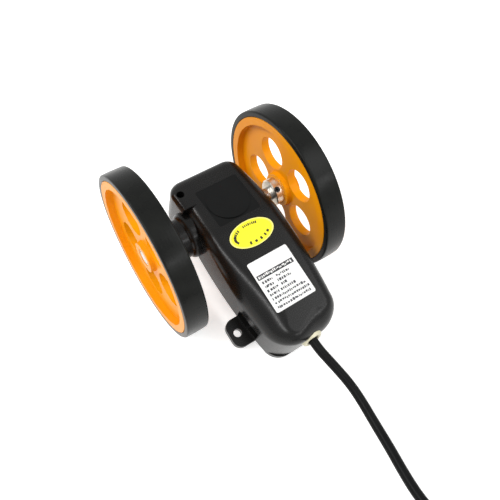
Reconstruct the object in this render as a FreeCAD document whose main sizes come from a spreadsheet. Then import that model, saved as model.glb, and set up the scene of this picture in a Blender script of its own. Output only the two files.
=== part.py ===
import FreeCAD
import Part
import Sketcher

import math
import os
import re

os.makedirs("parts", exist_ok=True)
doc = FreeCAD.newDocument("length_counter")

# Driving dimensions in millimetres and degrees. X runs along the shaft, the lead leaves
# towards -Y, and the flat top faces +Z before the whole counter is set down on its tail.
sizes = {
    # wheels
    "wheel_radius": 47.75,
    "wheel_width": 12.6,
    "wheel_space": 73.8,
    "tyre_depth": 3.5,
    "tyre_round": 0.7,
    "rim_ring": 4.5,
    "rim_recess": 3.9,
    "rim_draft": 0.6,
    "web_hole_count": 5,
    "web_hole_radius": 9.8,
    "web_hole_circle": 21.8,
    "wheel_boss_radius": 10,
    "outer_boss_radius": 8.6,
    "wheel_boss_drop": 1.2,
    "right_wheel_turn": 9.2,
    "left_wheel_turn": 0.4,
    # hubs and shaft
    "shaft_radius": 4,
    "shaft_chamfer": 0.5,
    "hub_radius": 7.9,
    "hub_reach": 3.9,
    "hub_drop": 1.5,
    "hub_neck_radius": 5,
    "hub_step": 1,
    "hub_chamfer": 0.5,
    "grub_radius": 1.75,
    "grub_inset": 1.9,
    "grub_sink": 0.5,
    "grub_turn": 17.8,
    "socket_radius": 0.9,
    "socket_depth": 1.6,
    # bearings
    "bearing_radius": 9.5,
    "bearing_width": 6,
    "left_bearing_x": -27.3,
    "right_bearing_x": 19.4,
    "outer_race_land": 7.8,
    "inner_race_land": 5.75,
    "ball_radius": 1.6,
    "ball_circle": 6.75,
    "ball_count": 7,
    "cage_inner": 6.2,
    "cage_outer": 7.3,
    "cage_gap": 0.3,
    "shield_inner": 6.0,
    "shield_thick": 0.3,
    "shield_inset": 0.2,
    "ring_thick": 0.8,
    "bore_ring_depth": 0.6,
    "bore_ring_inner": 8.6,
    "bore_ring_gap": 3,
    "shaft_groove": 0.5,
    "shaft_ring_outer": 5.6,
    # casing
    "casing_shift": 3,
    "casing_top": 20,
    "casing_tail": 82,
    "casing_head": 27,
    "tail_half": 18.3,
    "head_half": 19.1,
    "side_bow": 350,
    "tail_corner": 14.5,
    "head_corner": 8.2,
    "side_round": 7,
    "tail_round": 12,
    "head_round": 7.2,
    "slope_start": 12,
    "slope_angle": 12.5,
    "crease_round": 25,
    "wall": 2.5,
    "shoulder_reach": 24,
    "shoulder_start": 8,
    "shoulder_split": 8,
    "shoulder_corner": 9,
    "shoulder_round": 3,
    "seam_drop": 11,
    "boss_radius": 13,
    "boss_round": 3,
    "boss_lip": 1.2,
    "neck_radius": 11.3,
    "neck_long": 6.9,
    "neck_chamfer": 0.5,
    "inner_boss_radius": 10.8,
    "inner_boss_lip": 1.8,
    "shaft_passage": 7.5,
    # base and ears
    "base_thick": 4,
    "base_slim": 1.3,
    "base_corner": 9.5,
    "ear_span": 62.4,
    "ear_width": 16.4,
    "ear_place": 58.2,
    "ear_corner": 5,
    "ear_hole_radius": 2.25,
    "ear_hole_edge": 4.7,
    "scoop_radius": 8.2,
    "scoop_edge": 0.2,
    "scoop_floor": 2.5,
    "scoop_height": 8,
    "scoop_wall": 2,
    # screws that hold the base
    "post_radius": 4.6,
    "left_post_place": 19.6,
    "right_post_place": 12,
    "post_forward": 17.6,
    "post_top": 11.5,
    "post_bore_radius": 2.15,
    "post_seat": 3,
    "screw_radius": 1.25,
    "screw_head_radius": 1.95,
    "screw_head_height": 2.2,
    "screw_bite": 8,
    "screw_end": 0.4,
    "tail_screw_place": 18.5,
    # plates on top
    "badge_side": 25.4,
    "badge_centre": 14.3,
    "badge_sink": 0.6,
    "badge_thick": 0.5,
    "badge_corner": 1.2,
    "badge_disc_radius": 11.8,
    "badge_disc_thick": 0.5,
    "label_wide": 24.2,
    "label_long": 28.8,
    "label_centre": 49.1,
    "label_corner": 1,
    "label_thick": 0.15,
    "sticker_wide": 25.7,
    "sticker_long": 14.5,
    "sticker_centre": 21,
    "sticker_thick": 0.1,
    # encoder
    "disc_x": 3,
    "disc_radius": 11,
    "disc_thick": 1,
    "slot_count": 30,
    "slot_long": 1.8,
    "slot_wide": 0.9,
    "slot_edge": 0.5,
    "disc_hub_radius": 6.2,
    "disc_hub_long": 7,
    "disc_flange_radius": 7,
    "disc_flange_thick": 1.4,
    "disc_screw_radius": 1,
    # circuit board
    "board_low": 6,
    "board_thick": 1.6,
    "board_half": 12,
    "board_front": 12,
    "board_back": 70,
    "board_post_radius": 2.4,
    "board_post_inset": 3.2,
    "board_screw_radius": 0.9,
    "board_screw_head": 1.7,
    "board_screw_head_height": 1.2,
    "board_screw_long": 4,
    "sensor_half": 5.5,
    "sensor_slot": 3,
    "sensor_back": 20,
    "sensor_reach": 7.8,
    "sensor_foot": 2,
    "sensor_height": 8,
    "chip_wide": 7,
    "chip_long": 10,
    "chip_high": 2.4,
    "can_radius": 2.5,
    "can_high": 7,
    "terminal_half": 6,
    "terminal_front": 58,
    "terminal_back": 66,
    "terminal_high": 12.5,
    "terminal_level": 6,
    "terminal_hole_radius": 1,
    "core_spacing": 3.4,
    # lead
    "lead_radius": 2.5,
    "lead_height": 8.7,
    "lead_strip": 72,
    "core_radius": 0.7,
    "core_depth": 4,
    "core_straight": 0.6,
    "grommet_radius": 6,
    "grommet_neck": 4.8,
    "grommet_out": 0.6,
    "grommet_sink": 2,
    "grommet_wall": 2.8,
    "grommet_in": 1.6,
    "grommet_round": 0.8,
    "clamp_radius": 4.2,
    "clamp_long": 3,
    "coil_radius": 29.5,
    "coil_pitch": 5.55,
    "coil_turns": 3.5,
    "core_loose": 22,
    # clearances
    "seat_gap": 0.03,
    "running_gap": 0.05,
    "loose_gap": 0.2,
    "overrun": 1,
}

sheet = doc.addObject("Spreadsheet::Sheet", "Sizes")
for row, (alias, number) in enumerate(sizes.items(), start=1):
    sheet.set("A%d" % row, alias)
    sheet.set("B%d" % row, str(number))
    sheet.setAlias("B%d" % row, alias)
doc.recompute()


def spelled(text):
    """Sizes in an expression get the sheet's name in front."""
    return re.sub(r"[a-z]\w*", lambda m: "Sizes." + m.group(0) if m.group(0) in sizes else m.group(0), text)


def number(text):
    """The value that an expression of sizes has now."""
    return float(sheet.evalExpression(spelled(text)))


def bind(item, prop, text):
    item.setExpression(prop, spelled(text))


def place(item, x="0", y="0", z="0"):
    for axis, text in (("x", x), ("y", y), ("z", z)):
        if text != "0":
            bind(item, "Placement.Base." + axis, text)
    return item


# Plain primitives, combined with booleans

turned = {
    "x": FreeCAD.Rotation(FreeCAD.Vector(0, 1, 0), 90),
    "y": FreeCAD.Rotation(FreeCAD.Vector(1, 0, 0), -90),
    "z": FreeCAD.Rotation(),
}


def rod(name, axis, radius, length, x="0", y="0", z="0"):
    item = doc.addObject("Part::Cylinder", name)
    item.Placement = FreeCAD.Placement(FreeCAD.Vector(), turned[axis])
    bind(item, "Radius", radius)
    bind(item, "Height", length)
    return place(item, x, y, z)


def block(name, x, y, z):
    """A box between pairs of places along X, Y and Z."""
    item = doc.addObject("Part::Box", name)
    for prop, (low, high) in (("Length", x), ("Width", y), ("Height", z)):
        bind(item, prop, "(%s) - (%s)" % (high, low))
    return place(item, x[0], y[0], z[0])


def cut(name, base, *tools):
    item = doc.addObject("Part::Cut", name)
    item.Base = base
    item.Tool = tools[0] if len(tools) == 1 else fuse(name + "_tools", *tools)
    return item


def fuse(name, *members):
    item = doc.addObject("Part::MultiFuse", name)
    item.Shapes = list(members)
    return item


def common(name, *members):
    item = doc.addObject("Part::MultiCommon", name)
    item.Shapes = list(members)
    return item


def group(name, members):
    item = doc.addObject("Part::Compound", name)
    item.Links = list(members)
    return item


def rounded(name, base, kind, radius, wanted):
    """Fillets or chamfers on the edges that wanted() picks, radius from a function of the edge or a size."""
    doc.recompute()
    item = doc.addObject(kind, name)
    item.Base = base
    picked = []
    for index, edge in enumerate(base.Shape.Edges, start=1):
        if wanted(edge):
            first, last = radius(edge) if callable(radius) else (number(radius), number(radius))
            picked.append((index, first, last))
    item.Edges = picked
    return item


def middle(edge):
    return edge.valueAt(0.5 * (edge.FirstParameter + edge.LastParameter))


def ring(name, outer, inner, length, x):
    """A flat ring about the shaft's line."""
    return cut(name, rod(name + "_disc", "x", outer, length, x),
               rod(name + "_hole", "x", inner, length, x))


# Sketched bodies


def sketchOn(body, role, name):
    sketch = body.newObject("Sketcher::SketchObject", name)
    plane = [item for item in body.Origin.OriginFeatures if item.Role == role][0]
    sketch.AttachmentSupport = [(plane, "")]
    sketch.MapMode = "FlatFace"
    return sketch


def fixPoint(sketch, geometry, end, x, y):
    """Ties one end of a line to places given as expressions of sizes."""
    for kind, text, axis in (("DistanceX", x, -2), ("DistanceY", y, -1)):
        if text == "0":
            sketch.addConstraint(Sketcher.Constraint("PointOnObject", geometry, end, axis))
        else:
            index = sketch.addConstraint(Sketcher.Constraint(kind, -1, 1, geometry, end, number(text)))
            sketch.setExpression("Constraints[%d]" % index, spelled(text))


def outline(sketch, points, bows=None):
    """A closed outline through the points; bows gives the radius of an arc after a point."""
    bows = bows or {}
    spots = [FreeCAD.Vector(number(x), number(y), 0) for x, y in points]
    for index, start in enumerate(spots):
        end = spots[(index + 1) % len(spots)]
        if index in bows:
            radius = number(bows[index])
            half = 0.5 * (end - start).Length
            across = FreeCAD.Vector((end - start).y, -(end - start).x, 0).normalize()
            rise = radius - math.sqrt(radius * radius - half * half)
            sketch.addGeometry(Part.Arc(start, 0.5 * (start + end) + across * rise, end), False)
        else:
            sketch.addGeometry(Part.LineSegment(start, end), False)
    arcs = set()
    for index in range(len(spots)):
        after = (index + 1) % len(spots)
        leaving = 2 if index not in bows else endAt(sketch, index, spots[after])
        entering = 1 if after not in bows else endAt(sketch, after, spots[after])
        sketch.addConstraint(Sketcher.Constraint("Coincident", index, leaving, after, entering))
        fixPoint(sketch, index, leaving, *points[after])
        if index in bows and index not in arcs:
            arcs.add(index)
            radius = sketch.addConstraint(Sketcher.Constraint("Radius", index, number(bows[index])))
            sketch.setExpression("Constraints[%d]" % radius, spelled(bows[index]))


def endAt(sketch, geometry, spot):
    near = (sketch.getPoint(geometry, 1) - spot).Length < (sketch.getPoint(geometry, 2) - spot).Length
    return 1 if near else 2


def newBody(name):
    return doc.addObject("PartDesign::Body", name)


def turnedBody(name, profile):
    """A body revolved about the shaft's line from an outline of (place along X, radius) points."""
    body = newBody(name)
    sketch = sketchOn(body, "XY_Plane", name + "_profile")
    outline(sketch, profile)
    turn = body.newObject("PartDesign::Revolution", name + "_turn")
    turn.Profile = sketch
    turn.ReferenceAxis = (sketch, ["H_Axis"])
    turn.Angle = 360
    return body


def plannedBody(name, inset, low, high, slim="0", tail_corner="tail_corner"):
    """The casing's plan, bowed along both sides, drawn in by an inset and raised from low to high."""
    body = newBody(name)
    sketch = sketchOn(body, "XY_Plane", name + "_plan")
    tail = "-(casing_tail - %s)" % inset
    head = "casing_head - %s" % inset
    tail_x = "(tail_half - %s - %s)" % (inset, slim)
    head_x = "(head_half - %s - %s)" % (inset, slim)
    corners = [("casing_shift - " + tail_x, tail), ("casing_shift + " + tail_x, tail),
               ("casing_shift + " + head_x, head), ("casing_shift - " + head_x, head)]
    outline(sketch, corners, {1: "side_bow", 3: "side_bow"})
    bind(sketch, "AttachmentOffset.Base.z", low)
    pad = body.newObject("PartDesign::Pad", name + "_pad")
    pad.Profile = sketch
    bind(pad, "Length", "(%s) - (%s)" % (high, low))
    last = pad
    for end, radius in (("tail", tail_corner), ("head", "head_corner")):
        doc.recompute()
        upright = ["Edge%d" % index for index, edge in enumerate(last.Shape.Edges, start=1)
                   if isUpright(edge) and (middle(edge).y < 0) == (end == "tail")
                   and min(abs(middle(edge).y - number(tail)), abs(middle(edge).y - number(head))) < 0.001]
        fillet = body.newObject("PartDesign::Fillet", "%s_%s_corners" % (name, end))
        fillet.Base = (last, upright)
        bind(fillet, "Radius", "%s - %s" % (radius, inset))
        last = fillet
    body.Tip = last
    doc.recompute()
    return body


def isUpright(edge):
    direction = edge.tangentAt(edge.FirstParameter)
    return isinstance(edge.Curve, Part.Line) and abs(direction.z) > 0.999


parts = []
settle = {}


def keep(item, name, local=None):
    """Lists a sub-part by the name of its node, with its place on the counter where it was built aside."""
    if item.TypeId == "Part::Cylinder":
        item = group(name + "_only", [item])
    item.Label = name
    parts.append(item)
    settle[item.Name] = local or FreeCAD.Placement()


# Wheels: a plastic centre with five round openings, a metal hub moulded in, and a rubber tyre

wheel_middle = "(wheel_space + wheel_width) / 2"
rim_radius = "wheel_radius - tyre_depth"
web_half = "(wheel_width / 2 - rim_recess)"
hub_inner = "-(wheel_width / 2 + hub_reach)"
hub_outer = "wheel_width / 2 - hub_drop"


def wheelCentre(name, turn):
    half = "wheel_width / 2"
    boss = "(wheel_width / 2 - wheel_boss_drop)"
    ring_low = rim_radius + " - rim_ring"
    body = turnedBody(name, [
        ("-" + boss, "hub_radius + seat_gap"), ("hub_step + seat_gap", "hub_radius + seat_gap"),
        ("hub_step + seat_gap", "hub_neck_radius + seat_gap"), (boss, "hub_neck_radius + seat_gap"),
        (boss, "outer_boss_radius"), (web_half, "outer_boss_radius + rim_draft"),
        (web_half, ring_low + " - rim_draft"), (half, ring_low),
        (half, rim_radius), ("-" + half, rim_radius), ("-" + half, ring_low),
        ("-" + web_half, ring_low + " - rim_draft"), ("-" + web_half, "wheel_boss_radius + rim_draft"),
        ("-" + boss, "wheel_boss_radius")])
    sketch = sketchOn(body, "YZ_Plane", name + "_hole")
    sketch.addGeometry(Part.Circle(FreeCAD.Vector(0, number("web_hole_circle"), 0), FreeCAD.Vector(0, 0, 1),
                                   number("web_hole_radius")), False)
    fixPoint(sketch, 0, 3, "0", "web_hole_circle")
    radius = sketch.addConstraint(Sketcher.Constraint("Radius", 0, number("web_hole_radius")))
    sketch.setExpression("Constraints[%d]" % radius, spelled("web_hole_radius"))
    pocket = body.newObject("PartDesign::Pocket", name + "_opening")
    pocket.Profile = sketch
    pocket.Midplane = True
    bind(pocket, "Length", "wheel_width")
    doc.recompute()
    pattern = body.newObject("PartDesign::PolarPattern", name + "_openings")
    pattern.Originals = [pocket]
    pattern.Axis = (sketch, ["N_Axis"])
    pattern.Angle = 360
    bind(pattern, "Occurrences", "web_hole_count")
    body.Tip = pattern
    keep(body, name, turn)


def tyre(name, turn):
    half = "wheel_width / 2"
    low = rim_radius + " + seat_gap"
    body = turnedBody(name, [("-" + half, low), (half, low), (half, "wheel_radius - tyre_round"),
                             (half + " - tyre_round", "wheel_radius"), ("-(%s - tyre_round)" % half, "wheel_radius"),
                             ("-" + half, "wheel_radius - tyre_round")])
    keep(body, name, turn)


def wheelHub(name, turn):
    bore = "shaft_radius + seat_gap"
    body = turnedBody(name + "_blank", [
        (hub_inner, bore), (hub_outer, bore), (hub_outer, "hub_neck_radius - hub_chamfer"),
        (hub_outer + " - hub_chamfer", "hub_neck_radius"), ("hub_step", "hub_neck_radius"),
        ("hub_step", "hub_radius"), (hub_inner + " + hub_chamfer", "hub_radius"),
        (hub_inner, "hub_radius - hub_chamfer")])
    hole = rod(name + "_grub_hole", "z", "grub_radius", "hub_radius + overrun", hub_inner + " + grub_inset")
    keep(cut(name + "_cut", body, hole), name, turn)


def grubScrew(name, radius, tip, top, x):
    """A headless screw standing outward along Z with a hexagon socket."""
    screw = rod(name + "_thread", "z", radius, "(%s) - (%s)" % (top, tip), x, "0", tip)
    socket = doc.addObject("Part::Prism", name + "_socket")
    socket.Polygon = 6
    bind(socket, "Circumradius", "socket_radius")
    bind(socket, "Height", "socket_depth + overrun")
    place(socket, x, "0", "%s - socket_depth" % top)
    return cut(name, screw, socket)


upward = FreeCAD.Rotation(FreeCAD.Vector(1, 0, 0), number("grub_turn"))
for side, sign in (("right", 1), ("left", -1)):
    facing = FreeCAD.Rotation(FreeCAD.Vector(0, 0, 1), 0 if sign > 0 else 180)
    spin = FreeCAD.Rotation(FreeCAD.Vector(1, 0, 0), number(side + "_wheel_turn"))
    centre = FreeCAD.Vector(sign * number(wheel_middle), 0, 0)
    hub_place = FreeCAD.Placement(centre, upward.multiply(facing))
    wheel_place = FreeCAD.Placement(centre, upward.multiply(facing).multiply(spin))
    wheelCentre(side + "_wheel_centre", wheel_place)
    tyre(side + "_tyre", wheel_place)
    wheelHub(side + "_wheel_hub", hub_place)
    grub = grubScrew(side + "_grub_screw", "grub_radius - seat_gap", "shaft_radius",
                     "hub_radius - grub_sink", hub_inner + " + grub_inset")
    keep(grub, side + "_grub_screw", hub_place)

# Shaft, with a groove for a retaining ring beside each bearing

shaft_end = "(wheel_space / 2 + wheel_width - hub_drop)"
ring_places = {"left": "left_bearing_x + bearing_width / 2", "right": "right_bearing_x - bearing_width / 2 - ring_thick"}
shaft_rod = rod("shaft_rod", "x", "shaft_radius", "2 * " + shaft_end, "-" + shaft_end)
grooves = [ring("shaft_groove_" + side, "shaft_radius + overrun", "shaft_radius - shaft_groove", "ring_thick", spot)
           for side, spot in ring_places.items()]
shaft = cut("shaft_grooved", shaft_rod, *grooves)
keep(rounded("shaft_ends", shaft, "Part::Chamfer", "shaft_chamfer",
             lambda e: isinstance(e.Curve, Part.Circle) and abs(abs(middle(e).x) - number(shaft_end)) < 0.001), "shaft")
shaft_rings = []
for side, spot in ring_places.items():
    clip = ring("shaft_clip_" + side, "shaft_ring_outer", "shaft_radius - shaft_groove + seat_gap", "ring_thick", spot)
    slit = block("shaft_clip_slit_" + side, (spot + " - overrun", spot + " + ring_thick + overrun"),
                 ("-bore_ring_gap / 2", "bore_ring_gap / 2"), ("0", "bearing_radius"))
    shaft_rings.append(cut("shaft_clip_open_" + side, clip, slit))
keep(group("shaft_clips", shaft_rings), "shaft_retaining_rings")

# Bearings: races with a round groove, seven balls in a cage, and two shields

cage_end = "(shield_inset + shield_thick + cage_gap)"
for side in ("left", "right"):
    middle_x = side + "_bearing_x"
    low = middle_x + " - bearing_width / 2"
    track = doc.addObject("Part::Torus", side + "_ball_track")
    track.Placement = FreeCAD.Placement(FreeCAD.Vector(), turned["x"])
    bind(track, "Radius1", "ball_circle")
    bind(track, "Radius2", "ball_radius + running_gap")
    place(track, middle_x)
    outer = ring(side + "_outer_race_blank", "bearing_radius", "outer_race_land", "bearing_width", low)
    inner = ring(side + "_inner_race_blank", "inner_race_land", "shaft_radius + seat_gap", "bearing_width", low)
    keep(cut(side + "_outer_race_cut", outer, track), side + "_bearing_outer_ring")
    keep(cut(side + "_inner_race_cut", inner, track), side + "_bearing_inner_ring")
    balls = []
    pockets = []
    for index in range(int(number("ball_count"))):
        about = 360.0 * index / number("ball_count")
        angle = math.radians(about)
        ball = doc.addObject("Part::Sphere", "%s_ball_%d" % (side, index))
        bind(ball, "Radius", "ball_radius")
        balls.append(place(ball, middle_x, "ball_circle * %.9f" % -math.sin(angle), "ball_circle * %.9f" % math.cos(angle)))
        pocket = rod("%s_pocket_%d" % (side, index), "z", "ball_radius + running_gap", "cage_outer + overrun", middle_x)
        pocket.Placement = FreeCAD.Placement(FreeCAD.Vector(), FreeCAD.Rotation(FreeCAD.Vector(1, 0, 0), about))
        pockets.append(pocket)
    cage = ring(side + "_cage_blank", "cage_outer", "cage_inner", "bearing_width - 2 * " + cage_end,
                low + " + " + cage_end)
    keep(group(side + "_balls_and_cage", balls + [cut(side + "_cage", cage, *pockets)]), side + "_bearing_balls")
    shields = [ring("%s_shield_%d" % (side, index), "outer_race_land - seat_gap", "shield_inner", "shield_thick", spot)
               for index, spot in enumerate((low + " + shield_inset",
                                             middle_x + " + bearing_width / 2 - shield_inset - shield_thick"))]
    keep(group(side + "_shields", shields), side + "_bearing_shields")
    clip_x = low + " - ring_thick"
    clip = ring(side + "_bore_clip", "bearing_radius + bore_ring_depth", "bore_ring_inner", "ring_thick", clip_x)
    slit = block(side + "_bore_clip_slit", (clip_x + " - overrun", clip_x + " + ring_thick + overrun"),
                 ("-bore_ring_gap / 2", "bore_ring_gap / 2"), ("0", "bearing_radius + overrun"))
    keep(cut(side + "_bore_clip_open", clip, slit), side + "_bearing_clip")

# Casing: one moulded shell, bowed along its sides, with a head that slopes down at the front


def faceKind(shape, edge):
    kinds = set()
    for face in shape.Faces:
        if any(edge.isSame(other) for other in face.Edges):
            u0, u1, v0, v1 = face.ParameterRange
            kinds.add("top" if face.normalAt(0.5 * (u0 + u1), 0.5 * (v0 + v1)).z > 0.5 else "side")
    return kinds


def slopedWedge(name, drop):
    """What the slope takes off above the head, lowered by drop."""
    wedge = doc.addObject("Part::Box", name)
    wedge.Placement = FreeCAD.Placement(FreeCAD.Vector(), FreeCAD.Rotation(FreeCAD.Vector(1, 0, 0),
                                                                           -number("slope_angle")))
    bind(wedge, "Length", "4 * head_half")
    bind(wedge, "Width", "2 * (casing_head + slope_start)")
    bind(wedge, "Height", "2 * casing_top")
    return place(wedge, "casing_shift - 2 * head_half", "-slope_start", "casing_top - " + drop)


def roundTop(name, base, side, tail, head):
    """Rounds the whole upper edge, with its own radius along the sides, the tail and the head."""
    doc.recompute()
    shape = base.Shape
    tail_y = shape.BoundBox.YMin
    head_y = shape.BoundBox.YMax

    def radii(edge):
        ends = []
        for vertex in edge.Vertexes:
            if vertex.Point.y < tail_y + 0.001:
                ends.append(number(tail))
            elif vertex.Point.y > head_y - 0.001:
                ends.append(number(head))
            else:
                ends.append(number(side))
        return ends[0], ends[-1]

    return rounded(name, base, "Part::Fillet", radii, lambda e: faceKind(shape, e) == {"top", "side"})


def crease(edge):
    return isinstance(edge.Curve, Part.Line) and abs(edge.tangentAt(edge.FirstParameter).x) > 0.999 \
        and abs(middle(edge).y + number("slope_start")) < 0.01


outer_plan = plannedBody("outer_plan", "0", "-seam_drop", "casing_top")
outer_slope = cut("outer_slope", outer_plan, slopedWedge("outer_wedge", "0"))
outer_crease = rounded("outer_crease", outer_slope, "Part::Fillet", "crease_round", crease)
outer_rounded = roundTop("outer_rounded", outer_crease, "side_round", "tail_round", "head_round")


def shoulderBlock(name, low, high):
    """The head's left corner, standing out beside the wheel, with its free upright edge rounded."""
    item = block(name + "_square", ("casing_shift - shoulder_reach", "casing_shift"), ("shoulder_start", "casing_head"),
                 (low, high))
    return rounded(name, item, "Part::Fillet", "shoulder_corner",
                   lambda e: isUpright(e) and middle(e).x < number("casing_shift - shoulder_split")
                   and middle(e).y > number("shoulder_start") + 0.001)


def shoulderRadii(edge):
    reach = [number("head_round") if vertex.Point.y > number("casing_head") - 0.001 else number("shoulder_round")
             for vertex in edge.Vertexes]
    return reach[0], reach[-1]


shoulder_slope = cut("shoulder_slope", shoulderBlock("shoulder_plan", "-seam_drop", "casing_top"),
                     slopedWedge("shoulder_wedge", "0"))
doc.recompute()
shoulder_rounded = rounded("shoulder_rounded", shoulder_slope, "Part::Fillet", shoulderRadii,
                           lambda e: faceKind(shoulder_slope.Shape, e) == {"top", "side"}
                           and middle(e).x < number("casing_shift") - 0.001
                           and middle(e).y > number("shoulder_start") + 0.001)
corner_x = ("casing_shift - 2 * shoulder_reach", "casing_shift - shoulder_split")
corner_y = ("shoulder_start", "2 * casing_head")
corner_z = ("-2 * seam_drop", "2 * casing_top")
outer_left = cut("outer_left", outer_rounded, block("corner_away", corner_x, corner_y, corner_z))
shoulder = common("shoulder", shoulder_rounded, block("corner_kept", corner_x, corner_y, corner_z))
outer_block = fuse("outer_block", outer_left, shoulder)
inner_plan = plannedBody("inner_plan", "wall", "-(seam_drop + overrun)", "casing_top - wall")
inner_slope = cut("inner_slope", inner_plan, slopedWedge("inner_wedge", "wall"))
inner_block = roundTop("inner_block", inner_slope, "side_round - wall", "tail_round - wall", "head_round - wall")
walls = cut("casing_walls", outer_block, inner_block)

base_plan = plannedBody("base_plan", "0", "-(seam_drop + base_thick)", "-seam_drop", "base_slim", "base_corner")
scoop_low = "-seam_drop + scoop_floor"
mirrored = (("left", "-"), ("right", "+"))
ribs = []
holes = []
for side, sign in mirrored:
    scoop_x = "casing_shift %s (ear_span / 2 - scoop_radius - scoop_edge)" % sign
    post_x = "casing_shift %s %s_post_place" % (sign, side)
    tail_x = "casing_shift %s tail_screw_place" % sign
    ribs.append(rod(side + "_scoop_wall", "z", "scoop_radius + scoop_wall",
                    "scoop_floor + scoop_height + scoop_wall", scoop_x, "-ear_place", "-seam_drop"))
    holes.append(rod(side + "_scoop", "z", "scoop_radius", "scoop_height", scoop_x, "-ear_place", scoop_low))
    holes.append(rod(side + "_tail_screw_way", "z", "screw_radius + loose_gap", "scoop_floor + overrun",
                     tail_x, "-ear_place", "-(seam_drop + overrun / 2)"))
    ribs.append(rod(side + "_post", "z", "post_radius", "seam_drop + post_top", post_x, "post_forward",
                    "-seam_drop"))
left_post_x = "casing_shift - left_post_place"
right_post_x = "casing_shift + right_post_place"
holes.append(rod("left_post_bore", "z", "post_bore_radius", "casing_top + post_seat", left_post_x, "post_forward",
                 "-post_seat"))
holes.append(rod("left_post_way", "z", "screw_radius + loose_gap", "seam_drop", left_post_x, "post_forward",
                 "-(seam_drop + overrun / 2)"))
holes.append(rod("right_post_thread", "z", "screw_radius + seat_gap", "screw_bite + 2 * overrun", right_post_x,
                 "post_forward", "-(seam_drop + overrun)"))
right_seat = "right_bearing_x - bearing_width / 2 - inner_boss_lip"
ribs.append(rod("right_boss", "x", "inner_boss_radius", "2 * bearing_width", right_seat))
left_end = "left_bearing_x - bearing_width / 2 - boss_lip"
boss_end = left_end + " + neck_long"
left_boss = rod("left_boss_rod", "x", "boss_radius", "casing_shift - head_half - (%s)" % boss_end, boss_end)
left_neck = rod("left_neck_rod", "x", "neck_radius", "casing_shift - head_half - (%s)" % left_end, left_end)
outside = [rounded("left_boss", left_boss, "Part::Fillet", "boss_round",
                   lambda e: isinstance(e.Curve, Part.Circle) and abs(middle(e).x - number(boss_end)) < 0.001),
           rounded("left_neck", left_neck, "Part::Chamfer", "neck_chamfer",
                   lambda e: isinstance(e.Curve, Part.Circle) and abs(middle(e).x - number(left_end)) < 0.001)]
for side in ("left", "right"):
    low = side + "_bearing_x - bearing_width / 2"
    reach = "boss_lip" if side == "left" else "inner_boss_lip"
    holes.append(rod(side + "_bearing_bore", "x", "bearing_radius + seat_gap", "bearing_width + " + reach,
                     low + " - " + reach))
    holes.append(rod(side + "_clip_groove", "x", "bearing_radius + bore_ring_depth + seat_gap",
                     "ring_thick + seat_gap", low + " - ring_thick - seat_gap"))
    holes.append(rod(side + "_shaft_way", "x", "shaft_passage", "2 * bearing_width", low + " + bearing_width"))
grommet_seat = "-(casing_tail - grommet_sink)"
grommet_back = "-(casing_tail - grommet_sink - grommet_wall)"
ribs.append(rod("grommet_pad", "y", "grommet_radius + wall / 2", "grommet_sink + grommet_wall", "casing_shift",
                "-casing_tail", "lead_height"))
holes.append(rod("grommet_hole", "y", "grommet_neck + seat_gap", "grommet_wall + 2 * overrun", "casing_shift",
                 grommet_seat + " - overrun", "lead_height"))
holes.append(rod("grommet_recess", "y", "grommet_radius + seat_gap", "grommet_sink + overrun", "casing_shift",
                 "-(casing_tail + overrun)", "lead_height"))

slope_turn = FreeCAD.Rotation(FreeCAD.Vector(1, 0, 0), -number("slope_angle"))
slope_place = FreeCAD.Placement(FreeCAD.Vector(0, -number("slope_start"), number("casing_top")), slope_turn)


def onSlope(name, side, radius, low, thick):
    """A rounded square plate on the slope, in the slope's own frame."""
    plate = block(name + "_square", ("casing_shift - (%s) / 2" % side, "casing_shift + (%s) / 2" % side),
                  ("badge_centre - (%s) / 2" % side, "badge_centre + (%s) / 2" % side), (low, "(%s) + (%s)" % (low, thick)))
    return rounded(name, plate, "Part::Fillet", radius, isUpright)


recess = onSlope("badge_recess", "badge_side + 2 * seat_gap", "badge_corner", "-badge_sink", "badge_sink + overrun")
recess_placed = doc.addObject("Part::Compound", "badge_recess_placed")
recess_placed.Links = [recess]
recess_placed.Placement = slope_place
inside_ribs = common("casing_ribs", outer_block, fuse("casing_rib_blanks", *ribs))
casing_blank = fuse("casing_blank", walls, inside_ribs, *outside)
casing = cut("casing_cut", casing_blank, base_plan, recess_placed, *holes)
keep(casing, "casing")

# Base plate with an ear on each side, posts for the board and threads for the screws

base_low = "-(seam_drop + base_thick)"
ears_blank = block("ears_blank", ("casing_shift - ear_span / 2", "casing_shift + ear_span / 2"),
                   ("-(ear_place + ear_width / 2)", "-(ear_place - ear_width / 2)"), (base_low, "-seam_drop"))
ears = rounded("ears", ears_blank, "Part::Fillet", "ear_corner", isUpright)
base_adds = [base_plan, ears, shoulderBlock("shoulder_foot", base_low, "-seam_drop")]
base_holes = []
board_spots = []
for side, sign in mirrored:
    for end, spot_y in (("front", "-(board_front + board_post_inset)"), ("back", "-(board_back - board_post_inset)")):
        spot_x = "casing_shift %s (board_half - board_post_inset)" % sign
        board_spots.append((side + "_" + end, spot_x, spot_y))
        base_adds.append(rod("board_post_%s_%s" % (side, end), "z", "board_post_radius",
                             "seam_drop - board_low + overrun", spot_x, spot_y, "-(seam_drop + overrun)"))
        base_holes.append(rod("board_thread_%s_%s" % (side, end), "z", "board_screw_radius + seat_gap",
                              "board_screw_long", spot_x, spot_y, "-board_low - board_screw_long"))
    base_holes.append(rod(side + "_ear_hole", "z", "ear_hole_radius", "base_thick",
                          "casing_shift %s (ear_span / 2 - ear_hole_edge)" % sign, "-ear_place", base_low))
    base_holes.append(rod(side + "_tail_thread", "z", "screw_radius + seat_gap", "base_thick",
                          "casing_shift %s tail_screw_place" % sign, "-ear_place", base_low))
base_holes.append(rod("left_head_thread", "z", "screw_radius + seat_gap", "base_thick", left_post_x,
                      "post_forward", base_low))
base_holes.append(rod("right_head_way", "z", "screw_radius + loose_gap", "base_thick", right_post_x,
                      "post_forward", base_low))
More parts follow.
